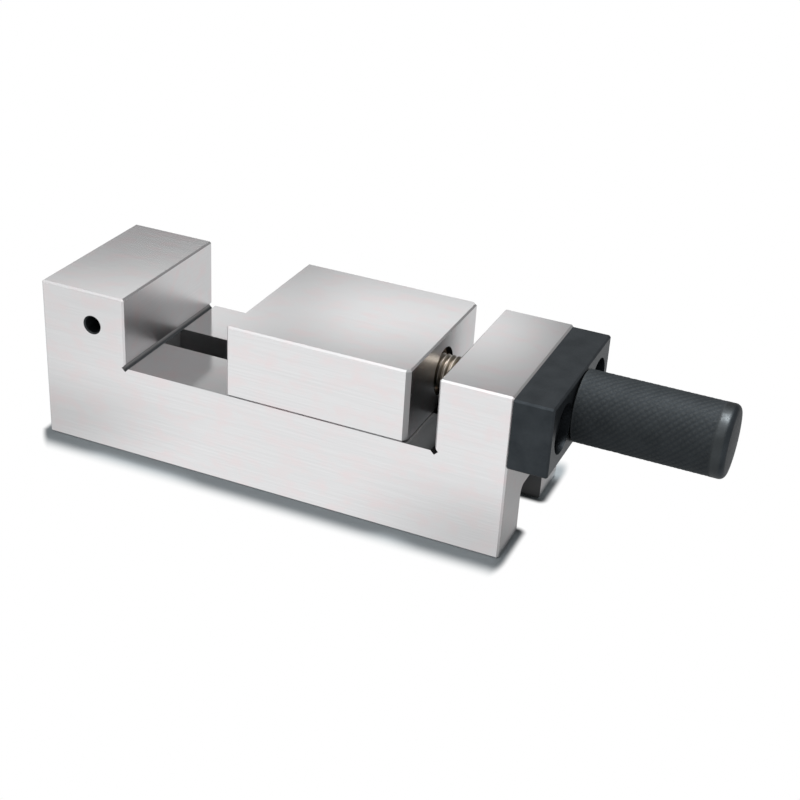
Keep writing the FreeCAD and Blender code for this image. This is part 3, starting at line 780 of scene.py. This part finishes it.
def bore_through(piece, centre, direction, radius, length):
    """Cuts a round hole through the piece, centred on a point and along a direction."""
    shape = bmesh.new()
    turn = direction.to_track_quat("Z", "Y").to_matrix().to_4x4()
    bmesh.ops.create_cone(shape, cap_ends=True, segments=32, radius1=radius, radius2=radius, depth=length,
                          matrix=Matrix.Translation(centre) @ turn)
    mesh = bpy.data.meshes.new("drill")
    shape.to_mesh(mesh)
    shape.free()
    drill = new_object("drill", mesh)
    cut = piece.modifiers.new("cross_hole", "BOOLEAN")
    cut.operation = "DIFFERENCE"
    cut.solver = "EXACT"
    cut.object = drill
    before = len(piece.data.vertices)
    apply_modifiers(piece)
    bpy.data.objects.remove(drill)
    if not 0.5 * before < len(piece.data.vertices) < 2 * before:
        raise RuntimeError("the cross hole spoilt %s" % piece.name)


# The studio

# The middles of the room's panel and strip, each by one part of the direction towards it
PANEL_X = -0.16
STRIP_Z = 0.4275


def table_finish(studio):
    """Matt white paint. Past the vise's own shadow the camera sees it plain white.

    The steel mirrors it as a glow of painted light: white in front, greyer on the left, on the right and
    behind, with a painted shadow under the plate.
    """
    material, tree, shader, places = new_material("matt_white_table", 0.0, 0.9)
    set_inputs(tree, shader, {"Base Color": colour(studio.table), "Specular IOR Level": 0.1})
    path = add_node(tree, "ShaderNodeLightPath").outputs
    mirrored = largest(tree, path["Is Glossy Ray"], path["Is Transmission Ray"])
    spot = add_node(tree, PARTS, (places["Object"],)).outputs

    # How far a place lies outside the block, over its length and its width. Between the legs the open
    # notch counts too, and at the front end the shadow's own end slants back.
    outside = []
    for axis, name in enumerate("XY"):
        middle = (BLOCK_LOW[axis] + BLOCK_HIGH[axis]) / 2
        half = (BLOCK_HIGH[axis] - BLOCK_LOW[axis]) / 2
        past = add_node(tree, MATH, (distance(tree, spot[name], middle), half), operation="SUBTRACT")
        outside.append(largest(tree, 0.0, past))
    to_leg = add_node(tree, MATH, (CHANNEL_HALF, distance(tree, spot["Y"], 0.0)), operation="SUBTRACT")
    at_notch = add_node(tree, RANGE, (spot["X"], 106 * MM, 111 * MM, 0.0, 3.0), interpolation_type=SOFT)
    between_legs = product(tree, largest(tree, 0.0, to_leg), at_notch)
    slant = add_node(tree, MATH, (BLOCK_LOW.x, product(tree, outside[1], 0.6)), operation="ADD")
    before_slant = add_node(tree, MATH, (slant, spot["X"]), operation="SUBTRACT")
    over_length = product(tree, largest(tree, outside[0], before_slant), 3.0)
    over_width = add_node(tree, MATH, (outside[1], between_legs), operation="ADD")
    away = length_of(tree, over_length, over_width)
    clear = product(tree, path["Is Camera Ray"], soft_mask(tree, (away, 3 * MM, 10 * MM)))

    # Where the steel mirrors the table as a plain glow, and how bright that painted light is there
    far = largest(
        tree,
        soft_mask(tree, (spot["X"], 117 * MM, 118.5 * MM)),
        soft_mask(tree, (spot["Y"], -24.5 * MM, -25.5 * MM)),
        soft_mask(tree, (spot["Y"], 40 * MM, 80 * MM)),
        add_node(tree, RANGE, (between_legs, 0.0, 10 * MM, 0.0, 0.2)))
    share = largest(tree, clear, product(tree, mirrored, far))
    beside_ends = product(
        tree,
        largest(tree, soft_mask(tree, (spot["X"], 0.02, -0.03)), soft_mask(tree, (spot["X"], 0.06, 0.11))),
        soft_mask(tree, (spot["Y"], -0.07, -0.03), (spot["Y"], 0.0, -0.02)))
    # A painted shadow of the plate on the table, seen only in the steel's mirrored rays
    painted_plate_shadow = soft_mask(
        tree,
        (spot["X"], 0.116, 0.117),
        (spot["X"], 0.140, 0.132),
        (spot["Y"], -0.035, -0.025),
        (spot["Y"], 0.070, 0.045))
    level = product(
        tree,
        add_node(tree, RANGE, (spot["Y"], -0.03, 0.07, 1.0, 0.7), interpolation_type=SOFT),
        add_node(tree, RANGE, (spot["X"], 0.0, -0.08, 1.0, 0.86), interpolation_type=SOFT),
        add_node(tree, RANGE, (beside_ends, 0.0, 1.0, 1.0, 0.72)),
        add_node(tree, RANGE, (painted_plate_shadow, 0.0, 1.0, 1.0, 0.4)))
    level = largest(tree, level, path["Is Camera Ray"])
    plain = add_node(tree, "ShaderNodeEmission", {"Color": (1, 1, 1, 1), "Strength": level})
    both = add_node(tree, "ShaderNodeMixShader", (share, shader, plain))
    set_inputs(tree, tree.nodes["Material Output"], {"Surface": both})
    return material


def set_table(studio):
    """Lays the table just under the vise."""
    half = 3.0
    gap = 0.02 * MM
    top = cad_low.z - gap
    corners = [(-half, -half, top), (half, -half, top), (half, half, top), (-half, half, top)]
    mesh = bpy.data.meshes.new("table")
    mesh.from_pydata(corners, [], [(0, 1, 2, 3)])
    mesh.materials.append(table_finish(studio))
    table = new_object("table", mesh)


def set_key_lamp(studio):
    """Hangs the key lamp and points it at the middle of the vise."""
    data = bpy.data.lights.new("key_lamp", "AREA")
    data.shape = "SQUARE"
    data.size = studio.key_size
    data.energy = studio.key_power
    lamp = new_object("key_lamp", data)
    lamp.location = studio.key_place
    centre = (cad_low + cad_high) / 2
    lamp.rotation_euler = (centre - lamp.location).to_track_quat("-Z", "Y").to_euler()


def set_room(studio):
    """Puts a grey room around the table, with a bright panel high in front and a strip low behind.

    The ground tops mirror the panel and the strip. The camera sees the room plain white, and metal
    mirrors it pale but for two dark screens, one around the strip and one around the panel. Every
    place in the room is given by parts of the direction towards it.
    """
    world = bpy.data.worlds.new("studio_room")
    bpy.context.scene.world = world
    world.use_nodes = True
    tree = world.node_tree
    path = add_node(tree, "ShaderNodeLightPath").outputs
    mirrored = largest(tree, path["Is Glossy Ray"], path["Is Transmission Ray"])
    direction = add_node(tree, "ShaderNodeTexCoord").outputs["Generated"]
    towards = add_node(tree, PARTS, (direction,)).outputs
    sideways = add_node(tree, MATH, (towards["X"], towards["Y"]), operation="DIVIDE")
    off_panel = distance(tree, towards["X"], PANEL_X)
    off_strip = distance(tree, towards["Z"], STRIP_Z)

    walls = add_node(tree, RANGE, (towards["Y"], 0.3, -0.2, studio.back_sky, studio.front_sky),
                     interpolation_type=SOFT)
    panel = soft_mask(
        tree,
        (towards["Y"], -0.1, -0.3),
        (off_panel, 0.3, 0.16),
        (towards["Z"], 0.5, 0.68),
        (towards["Z"], 0.99, 0.96))
    strip = soft_mask(tree, (off_strip, 0.028, 0.0), (towards["Y"], 0.55, 0.7), (sideways, -0.24, -0.33))
    # The strip is brightest near its middle, and has a darker streak beside that.
    for middle, reach, inside, outside in ((-0.435, 0.15, 1.0, 0.86), (-0.505, 0.075, 0.72, 1.0)):
        streak = add_node(tree, RANGE, (distance(tree, sideways, middle), 0.0, reach, inside, outside),
                          interpolation_type=SOFT)
        strip = product(tree, strip, streak)
    level = walls
    for lit, brightness in ((panel, studio.front_panel), (strip, studio.strip)):
        level = add_node(tree, MATH, (level, product(tree, lit, brightness)), operation="ADD")

    by_strip = soft_mask(
        tree,
        (towards["Y"], 0.3, 0.45),
        (towards["Z"], 0.75, 0.62),
        (sideways, -1.1, -0.9),
        (sideways, 1.1, 0.9))
    by_panel = soft_mask(tree, (off_panel, 0.45, 0.3), (towards["Z"], 0.4, 0.55), (towards["Y"], 0.35, 0.2))
    screened = largest(tree, by_strip, by_panel)
    pale = add_node(tree, RANGE, (screened, 0.0, 1.0, studio.surroundings, 0.0))
    level = largest(tree, level, product(tree, mirrored, pale), path["Is Camera Ray"])
    set_inputs(tree, tree.nodes["Background"], {"Color": level})


def set_camera(studio):
    """Sets the camera at the photograph's viewing angle."""
    data = bpy.data.cameras.new("camera")
    data.lens = studio.lens
    data.sensor_width = 36.0
    data.clip_start = 0.01
    camera = new_object("camera", data)
    camera.location = studio.camera_place
    camera.rotation_euler = Euler(studio.camera_turn)
    bpy.context.scene.camera = camera


# Operators, one for each piece or group of like pieces

class VISE_OT_ground_pieces(bpy.types.Operator):
    """Give the block, the sliding jaw and the keeper plate their ground finish"""
    bl_idname = "toolmakers_vise.ground_pieces"
    bl_label = "Ground pieces"

    def execute(self, context):
        material = ground_steel(context.scene.toolmakers_vise.finishes)
        give_finish(("vise_body", "movable_jaw", "keeper_plate"), material)
        return {"FINISHED"}


class VISE_OT_blackened_pieces(bpy.types.Operator):
    """Give the retainer plate and the fasteners their black oxide"""
    bl_idname = "toolmakers_vise.blackened_pieces"
    bl_label = "Blackened pieces"

    def execute(self, context):
        material = black_oxide(context.scene.toolmakers_vise.finishes)
        give_finish(("retainer_plate", "plate_screws", "keeper_screws", "nut_lock_screw"), material)
        return {"FINISHED"}


class VISE_OT_bronze_pieces(bpy.types.Operator):
    """Give the nut and the thrust washers their bronze"""
    bl_idname = "toolmakers_vise.bronze_pieces"
    bl_label = "Bronze pieces"

    def execute(self, context):
        material = bearing_bronze(context.scene.toolmakers_vise.finishes)
        give_finish(("jaw_nut", "front_thrust_washer", "rear_thrust_washer"), material)
        return {"FINISHED"}


class VISE_OT_threaded_screw(bpy.types.Operator):
    """Make the screw with its left-hand thread, journal, collar and shank"""
    bl_idname = "toolmakers_vise.threaded_screw"
    bl_label = "Threaded screw"

    def execute(self, context):
        settings = context.scene.toolmakers_vise
        sizes = settings.screw
        root = SHAFT_RADIUS - sizes.depth
        tip, end = SPINDLE_LOW.x, SPINDLE_HIGH.x
        journal = POST_FRONT + JOURNAL_INSET
        collar_rear = POST_REAR - WASHER_THICKNESS - END_FLOAT
        collar_front = collar_rear - COLLAR_THICKNESS
        thread_end = journal - sizes.undercut
        front = [(tip, 0.0), (tip, root)]
        rear = [
            (thread_end, root),
            (journal, root),
            (journal, JOURNAL_RADIUS - JOURNAL_BREAK),
            (journal + JOURNAL_BREAK, JOURNAL_RADIUS),
            (collar_front, JOURNAL_RADIUS),
            (collar_front, COLLAR_RADIUS - COLLAR_BREAK),
            (collar_front + COLLAR_BREAK, COLLAR_RADIUS),
            (collar_rear - COLLAR_BREAK, COLLAR_RADIUS),
            (collar_rear, COLLAR_RADIUS - COLLAR_BREAK),
            (collar_rear, SHAFT_RADIUS),
            (end - EDGE_BREAK, SHAFT_RADIUS),
            (end, SHAFT_RADIUS - EDGE_BREAK),
            (end, 0.0),
        ]
        piece = turned("threaded_spindle", (front, rear), sizes.sides)
        material = turned_steel(settings.finishes, SHAFT_RADIUS)
        apply_tree(piece, thread_tree(material), {
            "Start": tip,
            "End": thread_end,
            "Pitch": sizes.pitch,
            "Crest radius": SHAFT_RADIUS,
            "Thread depth": sizes.depth,
            "Sides": sizes.sides,
        })
        point_faces_outwards(piece)
        smooth_by_angle(piece, 25)
        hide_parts("spindle")
        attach(piece, "screw")
        return {"FINISHED"}


class VISE_OT_knurled_handle(bpy.types.Operator):
    """Make the knurled handle, and finish the pin that holds it"""
    bl_idname = "toolmakers_vise.knurled_handle"
    bl_label = "Knurled handle"

    def execute(self, context):
        settings = context.scene.toolmakers_vise
        sizes = settings.handle
        front, end = HANDLE_LOW.x, HANDLE_HIGH.x
        outer = (HANDLE_HIGH.z - HANDLE_LOW.z) / 2
        start = front + sizes.plain_front
        stop = end - sizes.plain_end

        # The grooves cross evenly, so a whole number of them fits the length. Each line of the knurl
        # has eight points, along the handle and around it.
        points = 8
        lead = 2 * math.pi * outer / sizes.lines / math.tan(sizes.slant)
        leads = round((stop - start) / lead)
        count = points * leads
        wall = [(start + (stop - start) * i / count, outer) for i in range(count + 1)]
        arc = []
        steps = 6
        for step in range(1, steps + 1):
            angle = math.pi / 2 * step / steps
            arc.append((
                end - sizes.rounding * (1 - math.sin(angle)),
                outer - sizes.rounding * (1 - math.cos(angle))))
        outline = [
            (front + HANDLE_BORE_DEPTH, 0.0),
            (front + HANDLE_BORE_DEPTH, HANDLE_BORE_RADIUS),
            (front, HANDLE_BORE_RADIUS),
            (front, outer - EDGE_BREAK),
            *wall,
            (end - sizes.rounding, outer),
            *arc,
            (end, 0.0),
        ]
        piece = turned("knurled_handle", (outline,), points * sizes.lines)
        material = black_oxide(settings.finishes, outer, stop)
        apply_tree(piece, knurl_tree(material), {
            "Lines around": float(sizes.lines),
            "Groove depth": sizes.depth,
            "Second set": sizes.second_share,
            "Lead": (stop - start) / leads,
            "Start": start,
            "End": stop,
            "Run-out": sizes.runout,
            "Outer radius": outer,
        })
        pin_low, pin_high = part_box("handle_pin")
        across = Vector((0.0, pin_high.y - pin_low.y, pin_high.z - pin_low.z)).normalized()
        bore_through(piece, (pin_low + pin_high) / 2, across, PIN_RADIUS, 3 * outer)
        point_faces_outwards(piece)
        smooth_by_angle(piece, 20)
        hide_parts("handle")
        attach(piece, "screw")
        give_finish(("handle_pin",), turned_steel(settings.finishes))
        return {"FINISHED"}


class VISE_OT_studio(bpy.types.Operator):
    """Set the white table, the key lamp, the room and the camera"""
    bl_idname = "toolmakers_vise.studio"
    bl_label = "Studio"

    def execute(self, context):
        studio = context.scene.toolmakers_vise.studio
        set_table(studio)
        set_key_lamp(studio)
        set_room(studio)
        set_camera(studio)
        context.scene.view_settings.view_transform = "Standard"
        return {"FINISHED"}


OPERATORS = (
    VISE_OT_ground_pieces,
    VISE_OT_blackened_pieces,
    VISE_OT_bronze_pieces,
    VISE_OT_threaded_screw,
    VISE_OT_knurled_handle,
    VISE_OT_studio,
)


class VISE_PT_sidebar(bpy.types.Panel):
    """Lists the vise's pieces and its sizes"""
    bl_idname = "VISE_PT_sidebar"
    bl_label = "Toolmakers vise"
    bl_space_type = "VIEW_3D"
    bl_region_type = "UI"
    bl_category = "Vise"

    def draw(self, context):
        settings = context.scene.toolmakers_vise
        for group in (settings.handle, settings.screw, settings.finishes, settings.studio):
            column = self.layout.column(align=True)
            for name in group.__annotations__:
                column.prop(group, name)
        for operator in OPERATORS:
            self.layout.operator(operator.bl_idname)


CLASSES = (
    ViseHandleSizes,
    ViseScrewSizes,
    ViseFinishes,
    ViseStudio,
    ViseSettings,
    *OPERATORS,
    VISE_PT_sidebar,
)


def register():
    for each in CLASSES:
        bpy.utils.register_class(each)
    bpy.types.Scene.toolmakers_vise = PointerProperty(type=ViseSettings)


def unregister():
    del bpy.types.Scene.toolmakers_vise
    for each in reversed(CLASSES):
        bpy.utils.unregister_class(each)


def main():
    register()
    bpy.ops.toolmakers_vise.ground_pieces()
    bpy.ops.toolmakers_vise.blackened_pieces()
    bpy.ops.toolmakers_vise.bronze_pieces()
    bpy.ops.toolmakers_vise.threaded_screw()
    bpy.ops.toolmakers_vise.knurled_handle()
    bpy.ops.toolmakers_vise.studio()


if __name__ == "__main__":
    main()
